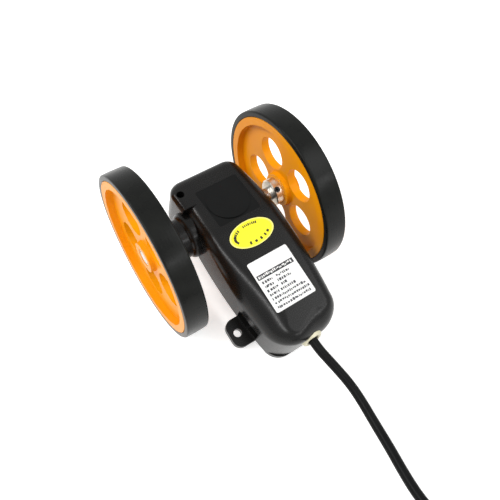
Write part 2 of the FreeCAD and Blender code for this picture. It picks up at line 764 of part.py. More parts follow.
base_holes.append(rod("right_head_sink", "z", "screw_head_radius + loose_gap", "screw_head_height + loose_gap",
                      right_post_x, "post_forward", base_low))
base_blank = fuse("base_blank", *base_adds)
keep(cut("base_cut", base_blank, *base_holes), "base_plate")


def capScrew(name, x, y, seat, radius, head, head_height, tip, socket):
    """A cap screw standing on seat, its tip at tip."""
    shank = rod(name + "_shank", "z", radius, "(%s) - (%s)" % (seat, tip), x, y, tip)
    cap = rod(name + "_cap", "z", head, head_height, x, y, seat)
    drive = doc.addObject("Part::Prism", name + "_drive")
    drive.Polygon = 6
    bind(drive, "Circumradius", socket)
    bind(drive, "Height", head_height)
    place(drive, x, y, "(%s) + (%s) / 2" % (seat, head_height))
    return cut(name, fuse(name + "_blank", shank, cap), drive)


def casingScrew(name, x, y, seat):
    return capScrew(name, x, y, seat, "screw_radius", "screw_head_radius", "screw_head_height",
                    base_low + " + screw_end", "screw_radius")


keep(group("tail_screw_pair", [casingScrew(side + "_tail_screw", "casing_shift %s tail_screw_place" % sign,
                                           "-ear_place", scoop_low) for side, sign in mirrored]), "tail_screws")
# the left head screw goes down through the shoulder, the right one up through the base
right_seat_z = base_low + " + screw_head_height + loose_gap"
right_shank = rod("right_head_shank", "z", "screw_radius", "-seam_drop + screw_bite - (%s)" % right_seat_z,
                  right_post_x, "post_forward", right_seat_z)
right_cap = rod("right_head_cap", "z", "screw_head_radius", "screw_head_height", right_post_x, "post_forward",
                right_seat_z + " - screw_head_height")
right_drive = doc.addObject("Part::Prism", "right_head_drive")
right_drive.Polygon = 6
bind(right_drive, "Circumradius", "screw_radius")
bind(right_drive, "Height", "screw_head_height")
place(right_drive, right_post_x, "post_forward", right_seat_z + " - 3 * screw_head_height / 2")
right_head_screw = cut("right_head_screw", fuse("right_head_blank", right_shank, right_cap), right_drive)
keep(group("head_screw_pair", [casingScrew("left_head_screw", left_post_x, "post_forward", "-post_seat"),
                               right_head_screw]), "head_screws")

# Plates on the slope and the flat top

badge = onSlope("badge_blank", "badge_side", "badge_corner", "-badge_sink", "badge_thick")
keep(badge, "badge_plate", slope_place)
badge_disc = rod("badge_disc_rod", "z", "badge_disc_radius", "badge_disc_thick", "casing_shift", "badge_centre",
                 "-badge_sink + badge_thick")
keep(badge_disc, "badge_disc", slope_place)
label_blank = block("label_blank", ("casing_shift - label_wide / 2", "casing_shift + label_wide / 2"),
                    ("-(label_centre + label_long / 2)", "-(label_centre - label_long / 2)"),
                    ("casing_top", "casing_top + label_thick"))
keep(rounded("label_corners", label_blank, "Part::Fillet", "label_corner", isUpright), "label_plate")
sticker_face = doc.addObject("Part::Ellipse", "sticker_outline")
bind(sticker_face, "MajorRadius", "sticker_wide / 2")
bind(sticker_face, "MinorRadius", "sticker_long / 2")
place(sticker_face, "casing_shift", "-sticker_centre", "casing_top")
sticker = doc.addObject("Part::Extrusion", "sticker_raised")
sticker.Base = sticker_face
sticker.DirMode = "Custom"
sticker.Dir = FreeCAD.Vector(0, 0, 1)
sticker.Solid = True
bind(sticker, "LengthFwd", "sticker_thick")
keep(sticker, "oval_sticker")

# Slotted disc on the shaft, clamped between its hub and a ring

disc_low = "disc_x - disc_thick / 2"
disc_body = newBody("disc_body")
disc_sketch = sketchOn(disc_body, "YZ_Plane", "disc_outline")
for index, (radius_text, start) in enumerate((("disc_radius", 0), ("shaft_radius + seat_gap", 1))):
    disc_sketch.addGeometry(Part.Circle(FreeCAD.Vector(), FreeCAD.Vector(0, 0, 1), number(radius_text)), False)
    disc_sketch.addConstraint(Sketcher.Constraint("Coincident", index, 3, -1, 1))
    bound = disc_sketch.addConstraint(Sketcher.Constraint("Radius", index, number(radius_text)))
    disc_sketch.setExpression("Constraints[%d]" % bound, spelled(radius_text))
disc_pad = disc_body.newObject("PartDesign::Pad", "disc_pad")
disc_pad.Profile = disc_sketch
disc_pad.Midplane = True
bind(disc_pad, "Length", "disc_thick")
slot_sketch = sketchOn(disc_body, "YZ_Plane", "slot_outline")
slot_high = "disc_radius - slot_edge"
slot_low = slot_high + " - slot_long"
outline(slot_sketch, [("-slot_wide / 2", slot_low), ("slot_wide / 2", slot_low), ("slot_wide / 2", slot_high),
                      ("-slot_wide / 2", slot_high)])
slot_pocket = disc_body.newObject("PartDesign::Pocket", "disc_slot")
slot_pocket.Profile = slot_sketch
slot_pocket.Midplane = True
bind(slot_pocket, "Length", "2 * disc_thick")
doc.recompute()
slots = disc_body.newObject("PartDesign::PolarPattern", "disc_slots")
slots.Originals = [slot_pocket]
slots.Axis = (slot_sketch, ["N_Axis"])
slots.Angle = 360
bind(slots, "Occurrences", "slot_count")
disc_body.Tip = slots
keep(disc_body, "encoder_disc", FreeCAD.Placement(FreeCAD.Vector(number("disc_x"), 0, 0), FreeCAD.Rotation()))
hub_low = "disc_x + disc_thick / 2"
disc_flange = rod("disc_flange", "x", "disc_flange_radius", "disc_flange_thick", hub_low)
disc_sleeve = rod("disc_sleeve", "x", "disc_hub_radius", "disc_hub_long", hub_low)
disc_bore = rod("disc_hub_bore", "x", "shaft_radius + seat_gap", "disc_hub_long", hub_low)
disc_screw_x = hub_low + " + (disc_flange_thick + disc_hub_long) / 2"
disc_tap = rod("disc_hub_tap", "z", "disc_screw_radius", "disc_flange_radius", disc_screw_x)
keep(cut("disc_hub_cut", fuse("disc_hub_blank", disc_flange, disc_sleeve), disc_bore, disc_tap), "encoder_hub")
keep(ring("disc_ring", "disc_flange_radius", "shaft_radius + seat_gap", "disc_flange_thick",
          disc_low + " - disc_flange_thick"), "encoder_clamp_ring")
keep(rod("disc_grub", "z", "disc_screw_radius - seat_gap", "disc_hub_radius - shaft_radius", disc_screw_x, "0",
         "shaft_radius"), "encoder_set_screw")

# Circuit board on four posts, with a forked sensor about the disc's edge, a chip, a can and a terminal block

board_top = "-board_low + board_thick"
board_x = ("casing_shift - board_half", "casing_shift + board_half")
board_blank = block("board_blank", board_x, ("-board_back", "-board_front"), ("-board_low", board_top))
board_holes = [rod("board_hole_" + tag, "z", "board_screw_radius + loose_gap", "board_thick", x, y, "-board_low")
               for tag, x, y in board_spots]
keep(cut("board_cut", board_blank, *board_holes), "circuit_board")
keep(group("board_screw_set", [
    capScrew("board_screw_" + tag, x, y, board_top, "board_screw_radius", "board_screw_head",
             "board_screw_head_height", "%s - board_screw_long" % board_top, "board_screw_radius")
    for tag, x, y in board_spots]), "board_screws")
sensor_x = ("disc_x - sensor_half", "disc_x + sensor_half")
foot = block("sensor_foot_block", sensor_x, ("-sensor_back", "-(board_front + loose_gap)"),
             (board_top, board_top + " + sensor_foot"))
arms = block("sensor_arms", sensor_x, ("-sensor_back", "-sensor_reach"),
             (board_top + " + sensor_foot", board_top + " + sensor_height"))
fork = block("sensor_fork", ("disc_x - sensor_slot / 2", "disc_x + sensor_slot / 2"),
             ("-(disc_radius + overrun)", "0"), (board_top, board_top + " + 2 * sensor_height"))
keep(cut("sensor_cut", fuse("sensor_blank", foot, arms), fork), "forked_sensor")
chip_y = ("-(sensor_back + 2 * chip_long)", "-(sensor_back + chip_long)")
chip = block("chip_block", ("casing_shift - chip_wide / 2", "casing_shift + chip_wide / 2"), chip_y,
             (board_top, board_top + " + chip_high"))
can = rod("can_rod", "z", "can_radius", "can_high", "casing_shift",
          "-(sensor_back + 2 * chip_long + 2 * can_radius)", board_top)
keep(group("board_pieces", [chip, can]), "board_components")
terminal_blank = block("terminal_blank", ("casing_shift - terminal_half", "casing_shift + terminal_half"),
                       ("-terminal_back", "-terminal_front"), (board_top, board_top + " + terminal_high"))
core_places = ["casing_shift - core_spacing", "casing_shift", "casing_shift + core_spacing"]
terminal_holes = [rod("terminal_hole_%d" % index, "y", "terminal_hole_radius", "core_depth + overrun", x,
                      "-(terminal_back + overrun)", "terminal_level") for index, x in enumerate(core_places)]
keep(cut("terminal_cut", terminal_blank, *terminal_holes), "terminal_block")

# Lead inside the casing, its grommet and its clamp

grommet_face = "-(casing_tail + grommet_out)"
sheath = rod("inner_sheath", "y", "lead_radius", "casing_tail + grommet_out - lead_strip", "casing_shift",
             grommet_face, "lead_height")
keep(sheath, "inner_lead")
cores = []
for index, x in enumerate(core_places):
    start = FreeCAD.Vector(number("casing_shift") + (index - 1) * 2 * number("core_radius + seat_gap"),
                           -number("lead_strip - seat_gap"), number("lead_height"))
    bend = FreeCAD.Vector(start.x, start.y + number("core_radius + core_straight"), start.z)
    end = FreeCAD.Vector(number(x), -number("terminal_back - core_depth"), number("terminal_level"))
    near = FreeCAD.Vector(end.x, -number("terminal_back + core_straight"), end.z)
    core = doc.addObject("Part::Feature", "inner_core_%d" % index)
    path = [Part.makeCylinder(number("core_radius"), (b - a).Length, a, b - a)
            for a, b in ((start, bend), (bend, near), (near, end))]
    path += [Part.makeSphere(number("core_radius"), spot) for spot in (bend, near)]
    core.Shape = path[0].fuse(path[1:]).removeSplitter()
    cores.append(core)
keep(group("inner_core_set", cores), "inner_cores")
grommet_bore = rod("grommet_bore", "y", "lead_radius + seat_gap",
                   "grommet_out + grommet_sink + grommet_wall + 2 * grommet_in", "casing_shift", grommet_face,
                   "lead_height")
flange_out = rod("grommet_flange", "y", "grommet_radius", "grommet_out + grommet_sink", "casing_shift",
                 grommet_face, "lead_height")
neck = rod("grommet_neck_rod", "y", "grommet_neck", "grommet_wall", "casing_shift", grommet_seat, "lead_height")
flange_in = rod("grommet_back", "y", "grommet_radius", "grommet_in", "casing_shift", grommet_back, "lead_height")
grommet_blank = cut("grommet_cut", fuse("grommet_blank", flange_out, neck, flange_in), grommet_bore)
keep(rounded("grommet_rounded", grommet_blank, "Part::Fillet", "grommet_round",
             lambda e: isinstance(e.Curve, Part.Circle) and abs(e.Curve.Radius - number("grommet_radius")) < 0.001
             and abs(middle(e).y - number(grommet_face)) < 0.001), "grommet")
clamp_back = grommet_back + " + grommet_in"
keep(cut("clamp_cut",
         rod("clamp_rod", "y", "clamp_radius", "clamp_long", "casing_shift", clamp_back, "lead_height"),
         rod("clamp_bore", "y", "lead_radius + seat_gap", "clamp_long", "casing_shift", clamp_back,
             "lead_height")), "lead_clamp")

# The counter stands on both tyres and on the lower edge of its tail

doc.recompute()
tail_depth = number("seam_drop + base_thick")
tail_reach = number("casing_tail")
tilt = math.asin(number("wheel_radius") / math.hypot(tail_reach, tail_depth)) - math.atan2(tail_depth, tail_reach)
standing = FreeCAD.Rotation(FreeCAD.Vector(1, 0, 0), math.degrees(tilt))


def stand(item, shift):
    across = FreeCAD.Placement(FreeCAD.Vector(0, shift, number("wheel_radius")), standing)
    item.Placement = across.multiply(settle[item.Name])


for item in parts:
    stand(item, 0)
doc.recompute()
boxes = [item.Shape.optimalBoundingBox(False, False) for item in parts]
forward = -0.5 * (min(box.YMin for box in boxes) + max(box.YMax for box in boxes))
for item in parts:
    stand(item, forward)

# Free lead: straight runs joined by tangent arcs from the grommet down to the floor, then a put-away coil

lead_out = FreeCAD.Placement(FreeCAD.Vector(0, forward, number("wheel_radius")), standing)
exit_point = lead_out.multVec(FreeCAD.Vector(number("casing_shift"), number(grommet_face), number("lead_height")))
route = [exit_point] + [FreeCAD.Vector(*point) for point in (
    (3.0, -67.24, 19.0),
    (4.9, -76.0, 14.8),
    (6.9, -87.5, 9.8),
    (7.0, -96.5, 6.2),
    (5.4, -108.5, 3.4),
    (3.0, -122.2, 2.6),
    (-0.1, -135.5, 2.6),
    (-2.1, -147.5, 2.6),
    (-1.5, -161.5, 2.6),
    (0.5, -175.0, 2.6),
)]
arc_share = 0.45


def roundedPath(points):
    """Edges of straight runs and tangent arcs, with the arcs' radii."""
    edges = []
    radii = []
    start = points[0]
    for before, corner, after in zip(points, points[1:], points[2:]):
        into = (corner - before).normalize()
        out = (after - corner).normalize()
        turn = into.getAngle(out)
        reach = arc_share * min((corner - before).Length, (after - corner).Length)
        radii.append(reach / math.tan(turn / 2))
        first = corner - into * reach
        last = corner + out * reach
        bulge = radii[-1] * (1 / math.cos(turn / 2) - 1)
        inward = (out - into).normalize()
        edges.append(Part.LineSegment(start, first).toShape())
        edges.append(Part.Arc(first, corner + inward * bulge, last).toShape())
        start = last
    edges.append(Part.LineSegment(start, points[-1]).toShape())
    return edges, radii


def tube(edges, radius):
    """A round tube along joined edges."""
    first = edges[0]
    start = first.valueAt(first.FirstParameter)
    circle = Part.Circle(start, first.tangentAt(first.FirstParameter), radius)
    section = Part.Wire([circle.toShape()])
    return Part.Wire(edges).makePipeShell([section], True, False)


def report(name, shape, edges, radius):
    length = sum(edge.Length for edge in edges)
    print("%s: length %.1f mm, volume %.1f, section times length %.1f" % (
        name, length, shape.Volume, math.pi * radius * radius * length))
    return length


def looseItem(name, shape):
    item = doc.addObject("Part::Feature", name)
    item.Shape = shape
    item.Label = name
    parts.append(item)
    return item


lead_radius = number("lead_radius")
lead_edges, lead_radii = roundedPath(route)
looseItem("cable_lead", tube(lead_edges, lead_radius))
print("lead radii in mm:", " ".join("%.0f" % radius for radius in lead_radii))
lead_length = report("cable_lead", parts[-1].Shape, lead_edges, lead_radius)


def biarc(start, leaving, end, arriving):
    """Two tangent arcs from start to end with the given directions."""
    chord = end - start
    both = leaving + arriving
    slope = chord.dot(both)
    bend = 2 * (1 - leaving.dot(arriving))
    reach = (math.sqrt(slope * slope + bend * chord.dot(chord)) - slope) / bend
    first = start + leaving * reach
    second = end - arriving * reach
    joint = (first + second) * 0.5
    return [cornerArc(start, first, joint), cornerArc(joint, second, end)]


def cornerArc(start, corner, end):
    into = (corner - start).normalize()
    out = (end - corner).normalize()
    half = into.getAngle(out) / 2
    radius = (corner - start).Length / math.tan(half)
    inward = (out - into).normalize()
    return Part.Arc(start, corner + inward * (radius * (1 / math.cos(half) - 1)), end).toShape()


# The coil winds inward on the floor, climbs in half a turn at its heart and winds outward on top
coil_pitch = number("coil_pitch")
coil_turns = number("coil_turns")
pitch_rate = coil_pitch / (2 * math.pi)
coil_outside = number("coil_radius") + 0.5 * coil_turns * coil_pitch
coil_inside = coil_outside - coil_turns * coil_pitch
heading = (route[-1] - route[-2]).normalize()
coil_start = route[-1] + heading * (2 * lead_radius)
# the spiral's own slope turns its first direction a little away from square to the radius
lean = math.atan(pitch_rate / coil_outside)
square = FreeCAD.Rotation(FreeCAD.Vector(0, 0, 1), math.degrees(lean)).multVec(heading)
inward = FreeCAD.Vector(square.y, -square.x, 0)
coil_centre = coil_start + inward * coil_outside
first_angle = math.atan2(-inward.y, -inward.x)
full_layer = 2 * math.pi * coil_turns


def coilPoint(wound):
    """Place and direction after winding an angle, clockwise seen from above."""
    if wound <= full_layer:
        reach, rate, rise, climb = coil_outside - pitch_rate * wound, -pitch_rate, 0.0, 0.0
    elif wound < full_layer + math.pi:
        share = (wound - full_layer) / math.pi
        reach = coil_inside - pitch_rate * math.pi * (share - share * share)
        rate = -pitch_rate * (1 - 2 * share)
        rise = coil_pitch * share * share * (3 - 2 * share)
        climb = coil_pitch * 6 * share * (1 - share) / math.pi
    else:
        back = wound - full_layer - math.pi
        reach, rate, rise, climb = coil_inside + pitch_rate * back, pitch_rate, coil_pitch, 0.0
    angle = first_angle - wound
    outward = FreeCAD.Vector(math.cos(angle), math.sin(angle), 0)
    along = FreeCAD.Vector(math.sin(angle), -math.cos(angle), 0)
    spot = coil_centre + outward * reach + FreeCAD.Vector(0, 0, rise)
    return spot, (outward * rate + along * reach + FreeCAD.Vector(0, 0, climb)).normalize()


quarter = math.pi / 2
stops = [quarter * index for index in range(int(round((2 * full_layer + math.pi) / quarter)) + 1)]
coil_edges = [Part.LineSegment(route[-1], coil_start).toShape()]
for begin, finish in zip(stops, stops[1:]):
    coil_edges += biarc(*coilPoint(begin), *coilPoint(finish))
coil_end, coil_out = coilPoint(stops[-1])
sheath_end = coil_end + coil_out * (2 * lead_radius)
coil_edges.append(Part.LineSegment(coil_end, sheath_end).toShape())
looseItem("cable_coil", tube(coil_edges, lead_radius))
coil_length = report("cable_coil", parts[-1].Shape, coil_edges, lead_radius)
checks = [coilPoint(math.radians(step))[0] for step in range(0, int(math.degrees(stops[-1])), 3)]
gap = min((a - b).Length for index, a in enumerate(checks) for b in checks[index + 40:]) - 2 * lead_radius
print("least gap between turns %.2f mm, lead and coil %.1f mm" % (gap, lead_length + coil_length))

# Three stripped cores at the far end, spread and resting on the floor
core_radius = number("core_radius")
aside = FreeCAD.Vector(coil_out.y, -coil_out.x, 0)
for index, colour in ((-1, "brown"), (0, "black"), (1, "blue")):
    near = sheath_end + aside * (index * 2 * (core_radius + number("seat_gap")))
    reach = number("core_loose")
    floor = FreeCAD.Vector(0, 0, near.z - core_radius - number("running_gap"))
    points = [near, near + coil_out * (0.2 * reach) + aside * (0.03 * index * reach),
              near + coil_out * (0.65 * reach) + aside * (0.12 * index * reach) - floor,
              near + coil_out * reach + aside * (0.2 * index * reach) - floor]
    looseItem(colour + "_core", tube(roundedPath(points)[0], core_radius))

doc.recompute()
for item in doc.Objects:
    if "Invalid" in item.State or "Error" in item.State:
        raise RuntimeError("%s failed to rebuild" % item.Name)
for item in parts:
    if item.Shape.isNull() or not item.Shape.isValid() or not item.Shape.Solids:
        raise RuntimeError("%s has no sound solid" % item.Label)
for item in parts:
    item.Shape.exportStep("parts/%s.step" % item.Label)
print("%d sub-parts written, exit of the lead at %.2f %.2f %.2f" % (len(parts), *exit_point))
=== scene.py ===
import math
import random

import bmesh
import bpy
from mathutils import Matrix, Vector


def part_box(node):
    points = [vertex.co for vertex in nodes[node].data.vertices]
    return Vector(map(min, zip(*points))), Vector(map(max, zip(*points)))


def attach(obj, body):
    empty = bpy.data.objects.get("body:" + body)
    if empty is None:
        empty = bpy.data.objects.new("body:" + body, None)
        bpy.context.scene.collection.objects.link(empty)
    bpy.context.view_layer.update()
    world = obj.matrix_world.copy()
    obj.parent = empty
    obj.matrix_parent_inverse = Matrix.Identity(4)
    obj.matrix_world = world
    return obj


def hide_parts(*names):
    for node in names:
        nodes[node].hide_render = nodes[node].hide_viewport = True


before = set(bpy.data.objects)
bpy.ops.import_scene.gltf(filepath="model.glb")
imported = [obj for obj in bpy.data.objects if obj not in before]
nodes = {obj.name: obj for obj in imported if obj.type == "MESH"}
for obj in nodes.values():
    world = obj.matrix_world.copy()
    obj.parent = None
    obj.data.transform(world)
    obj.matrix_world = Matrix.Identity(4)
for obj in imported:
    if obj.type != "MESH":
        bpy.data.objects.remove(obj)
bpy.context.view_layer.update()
mm = 0.001
print("frame loaded")

# The counter stands on both tyres and its tail, so its own axes lean back about the shaft
standing = {
    "wheelRadius": 47.75 * mm,
    "tailReach": 82 * mm,  # from the shaft to the tail's lower edge, along the casing
    "tailDepth": 15 * mm,  # how far that edge lies under the shaft, square to the casing
}


def leanAngle(s):
    reach = math.hypot(s["tailReach"], s["tailDepth"])
    return math.asin(s["wheelRadius"] / reach) - math.atan2(s["tailDepth"], s["tailReach"])


lean = leanAngle(standing)
shaftSpot = (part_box("shaft")[0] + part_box("shaft")[1]) / 2
shaftSpot.x = 0
bodyFrame = Matrix.Translation(shaftSpot) @ Matrix.Rotation(lean, 4, "X")


def addObject(name, data):
    item = bpy.data.objects.new(name, data)
    bpy.context.scene.collection.objects.link(item)
    return item


# Camera at the place and turn from which the photograph was taken
cameraSettings = {
    "fromShaft": (-98.283, -201.6, 221.44),  # mm from the middle of the shaft
    "right": (0.82938, -0.55498, -0.06419),
    "down": (-0.45077, -0.59688, -0.66373),
    "lens": 40.747,
    "sensor": 36.0,
    "nearest": 0.01,
}


def makeCamera(s):
    right = Vector(s["right"]).normalized()
    up = -Vector(s["down"]).normalized()
    data = bpy.data.cameras.new("productCamera")
    data.lens, data.sensor_width, data.clip_start = s["lens"], s["sensor"], s["nearest"]
    camera = addObject("productCamera", data)
    turn = Matrix((right, up, right.cross(up))).transposed().to_4x4()
    camera.matrix_world = Matrix.Translation(shaftSpot + Vector(s["fromShaft"]) * mm) @ turn
    bpy.context.scene.camera = camera


makeCamera(cameraSettings)
print("camera placed")


# Helpers for nodes and materials
def linear(hexCode):
    # The sRGB curve, from a hex colour to linear values
    parts = [int(hexCode[i:i + 2], 16) / 255 for i in (1, 3, 5)]
    return tuple(p / 12.92 if p <= 0.04045 else ((p + 0.055) / 1.055) ** 2.4 for p in parts) + (1.0,)


def fillRamp(elements, stops):
    # stops: each place on the ramp with its hex colour or plain value
    while len(elements) < len(stops):
        elements.new(0.5)  # moved to its place below
    for element, (spot, value) in zip(elements, stops.items()):
        element.position = spot
        element.color = linear(value) if isinstance(value, str) else (value, value, value, 1)


def addNode(tree, kind, settings=None, links=None):
    # A setting goes to the socket with that name or number, to the ramp, or else to the node itself
    node = tree.nodes.new(kind)
    for key, value in (settings or {}).items():
        if key == "stops":
            fillRamp(node.color_ramp.elements, value)
        elif isinstance(key, int) or key in node.inputs:
            node.inputs[key].default_value = value
        else:
            setattr(node, key, value)
    for key, source in (links or {}).items():
        tree.links.new(source, node.inputs[key])
    return node


def perMm(size):
    return 1 / (size * mm)  # texture scale for a feature of that many millimetres


def startMaterial(name, s):
    # A shader with its constants, and Object coordinates from a place, turned with the piece
    material = bpy.data.materials.new(name)
    material.use_nodes = True
    tree = material.node_tree
    tree.nodes.clear()
    shader = addNode(tree, "ShaderNodeBsdfPrincipled", s["shader"])
    addNode(tree, "ShaderNodeOutputMaterial", {}, {"Surface": shader.outputs[0]})
    coordinates = addNode(tree, "ShaderNodeTexCoord")
    place, turn = s.get("place", (0, 0, 0)), s.get("turn", (0, 0, 0))
    where = addNode(tree, "ShaderNodeMapping", {
        "vector_type": "TEXTURE", "Location": place, "Rotation": turn,
    }, {"Vector": coordinates.outputs["Object"]})
    return material, tree, shader, where.outputs[0]


def joinPatterns(tree, shader, s, **patterns):
    # A pattern gives the colour or the roughness through a ramp, and the relief as a bump
    sockets = {"colour": "Base Color", "roughness": "Roughness", "relief": "Normal"}
    for use, pattern in patterns.items():
        if use == "relief":
            node = addNode(tree, "ShaderNodeBump", {"Distance": s["reliefMm"] * mm, "Strength": s["relief"]},
                           {"Height": pattern})
        else:
            node = addNode(tree, "ShaderNodeValToRGB", {"stops": s[use]}, {"Fac": pattern})
        tree.links.new(node.outputs[0], shader.inputs[sockets[use]])


def grainedMaterial(name, s):
    # Broad patches tint the colour, and a fine grain varies the roughness and gives the relief
    material, tree, shader, where = startMaterial(name, s)
    patch = addNode(tree, "ShaderNodeTexNoise", {"Scale": perMm(s["patchMm"]), "Detail": s["patchDetail"]},
                    {"Vector": where}).outputs[0]
    grain = addNode(tree, "ShaderNodeTexNoise", {"Scale": perMm(s["grainMm"]), **s["grain"]},
                    {"Vector": where}).outputs[0]
    joinPatterns(tree, shader, s, colour=patch, roughness=grain, relief=grain)
    return material


# Plastics: the mould's grain is drawn coarser than the real one, which would be too fine to show
moulded = {
    "place": shaftSpot, "turn": (lean, 0, 0), "patchDetail": 2.0, "grain": {"Detail": 4.0, "Roughness": 0.6},
}
# Black ABS, spark-eroded mould: even soft black with a satin sheen and a fine grain
casingPlastic = grainedMaterial("satinBlackAbs", {
    **moulded, "shader": {"IOR": 1.5, "Specular IOR Level": 0.19}, "patchMm": 18, "grainMm": 0.5,
    "colour": {0.3: "#101010", 0.7: "#151514"}, "roughness": {0.3: 0.25, 0.7: 0.29},
    "reliefMm": 0.01, "relief": 0.08})
# Black ABS, polished part of the mould: darker and clearly reflecting
badgePlastic = grainedMaterial("polishedBlackAbs", {
    **moulded, "shader": {"IOR": 1.5, "Specular IOR Level": 0.12}, "patchMm": 18, "grainMm": 0.8,
    "colour": {0.3: "#0c0d0d", 0.7: "#101111"}, "roughness": {0.3: 0.14, 0.7: 0.2},
    "reliefMm": 0.01, "relief": 0.1})
# Black nylon of the inner parts, moulded: matt
innerPlastic = grainedMaterial("mattBlackNylon", {
    **moulded, "shader": {"IOR": 1.5}, "patchMm": 8, "grainMm": 0.3,
    "colour": {0.3: "#161616", 0.7: "#1e1e1e"}, "roughness": {0.3: 0.5, 0.7: 0.62},
    "reliefMm": 0.02, "relief": 0.4})
# Grey nylon of the terminals, moulded: pale and nearly matt
terminalPlastic = grainedMaterial("greyTerminalNylon", {
    **moulded, "shader": {"IOR": 1.5}, "patchMm": 6, "grainMm": 0.3,
    "colour": {0.3: "#7f8688", 0.7: "#8d9496"}, "roughness": {0.3: 0.45, 0.7: 0.55},
    "reliefMm": 0.02, "relief": 0.3})
# Natural nylon of the grommet, moulded: warm ivory, a little waxy
ivoryPlastic = grainedMaterial("ivoryNylon", {
    **moulded, "shader": {"IOR": 1.5}, "patchMm": 5, "grainMm": 0.4,
    "colour": {0.3: "#d2ccae", 0.7: "#ded8bc"}, "roughness": {0.3: 0.35, 0.7: 0.5},
    "reliefMm": 0.03, "relief": 0.3})
# Orange ABS, polished mould: saturated and glossy, with faint flow patches that turn with the wheel
orangePlastic = grainedMaterial("glossyOrangeAbs", {
    "shader": {"IOR": 1.5, "Specular IOR Level": 0.08}, "place": shaftSpot,
    "patchMm": 22, "patchDetail": 2.0, "grainMm": 0.5, "grain": {"Detail": 3.0, "Roughness": 0.5},
    "colour": {0.3: "#ea9204", 0.7: "#f09a08"}, "roughness": {0.3: 0.3, 0.7: 0.36},
    "reliefMm": 0.01, "relief": 0.15})
# Black PVC of the lead, extruded: matt with a faint drag grain, drawn coarser than real
sheathPvc = grainedMaterial("mattBlackPvc", {
    "shader": {"IOR": 1.5, "Specular IOR Level": 0.07},
    "patchMm": 7, "patchDetail": 2.0, "grainMm": 0.5, "grain": {"Detail": 5.0, "Roughness": 0.6},
    "colour": {0.3: "#0e0e0f", 0.7: "#131414"}, "roughness": {0.3: 0.34, 0.7: 0.42},
    "reliefMm": 0.02, "relief": 0.3})
# PVC of the cores, extruded thin: glossy
coreColours = {
    "brown": ("#5a3522", "#6b4029"),
    "black": ("#151515", "#202020"),
    "blue": ("#2456a0", "#2f66b4"),
}
coreFinishes = {}
for name, (dark, light) in coreColours.items():
    coreFinishes[name + "_insulation"] = grainedMaterial(name + "CorePvc", {
        **moulded, "shader": {"IOR": 1.53}, "patchMm": 3, "grainMm": 0.4,
        "colour": {0.3: dark, 0.7: light}, "roughness": {0.3: 0.28, 0.7: 0.4},
        "reliefMm": 0.01, "relief": 0.3})

# Metals: their turning and grinding marks are drawn coarser than the real ones, which are too fine to show
metal = {"shader": {"Metallic": 1.0}, "patchDetail": 2.0, "grain": {"Detail": 4.0, "Roughness": 0.65}}
# Steel of the hubs, turned and nickel-plated: warm bright silver
hubMetal = grainedMaterial("nickelPlatedSteel", {
    **metal, "place": shaftSpot, "patchMm": 4, "grainMm": 0.5,
    "colour": {0.3: "#d3c9b8", 0.7: "#e6ddce"}, "roughness": {0.3: 0.26, 0.7: 0.36},
    "reliefMm": 0.01, "relief": 0.2})
# Bearing steel, ground: cool and bright
bearingSteel = grainedMaterial("groundBearingSteel", {
    **metal, "place": shaftSpot, "patchMm": 3, "grainMm": 0.4,
    "colour": {0.3: "#a9abad", 0.7: "#c3c5c7"}, "roughness": {0.3: 0.2, 0.7: 0.32},
    "reliefMm": 0.01, "relief": 0.3})
# Steel of the screws, black oxide: dark with a dull shine
screwSteel = grainedMaterial("blackOxideSteel", {
    **metal, "patchMm": 1.5, "grainMm": 0.3,
    "colour": {0.3: "#2a2a2b", 0.7: "#3a3a3c"}, "roughness": {0.3: 0.3, 0.7: 0.45},
    "reliefMm": 0.01, "relief": 0.3})
# Aluminium, turned: pale, with a soft shine
turnedAluminium = grainedMaterial("turnedAluminium", {
    **metal, "place": shaftSpot, "patchMm": 3, "grainMm": 0.35,
    "colour": {0.3: "#b4b6b8", 0.7: "#c9cbcd"}, "roughness": {0.3: 0.25, 0.7: 0.38},
    "reliefMm": 0.01, "relief": 0.3})

# Rubber of the tyres, turned: near-black and satin. Its lines run round the tread and draw the light out
# in bands. They are drawn coarser than the real ones, which would be too fine to show
rubberSettings = {
    "shader": {"IOR": 1.5, "Specular IOR Level": 0.1}, "place": shaftSpot,
    "lineMm": 0.9, "lines": {"bands_direction": "X", "Distortion": 1.5, "Detail": 3.0, "Detail Scale": 0.4},
    "dustMm": 9, "dust": {"Detail": 4.0, "Roughness": 0.6},
    "colour": {0.3: "#121312", 0.75: "#191a18"}, "roughness": {0.3: 0.25, 0.7: 0.32},
    "reliefMm": 0.03, "relief": 0.3,
}


def waveScale(lineMm):
    return perMm(lineMm) / (2 * math.pi)  # makes each light or dark line of a Wave texture about that wide


def makeRubber(s):
    material, tree, shader, where = startMaterial("turnedRubber", s)
    lines = addNode(tree, "ShaderNodeTexWave", {"Scale": waveScale(s["lineMm"]), **s["lines"]},
                    {"Vector": where}).outputs["Fac"]
    dust = addNode(tree, "ShaderNodeTexNoise", {"Scale": perMm(s["dustMm"]), **s["dust"]},
                   {"Vector": where}).outputs[0]
    joinPatterns(tree, shader, s, colour=dust, roughness=dust, relief=lines)
    return material


tyreRubber = makeRubber(rubberSettings)

# Paper of the label, printed and gloss-laminated: nearly white, with faint fibres, drawn coarser than real
paperSettings = {
    "shader": {"IOR": 1.5, "Coat Weight": 0.25, "Coat Roughness": 0.25},
    "place": shaftSpot, "turn": (lean, 0, 0), "fibreMm": 0.6, "fibre": {"Detail": 5.0, "Roughness": 0.7},
    "colour": {0.3: "#e9e9e7", 0.7: "#ededea"}, "roughness": {0.3: 0.42, 0.7: 0.52},
    "reliefMm": 0.01, "relief": 0.3,
}


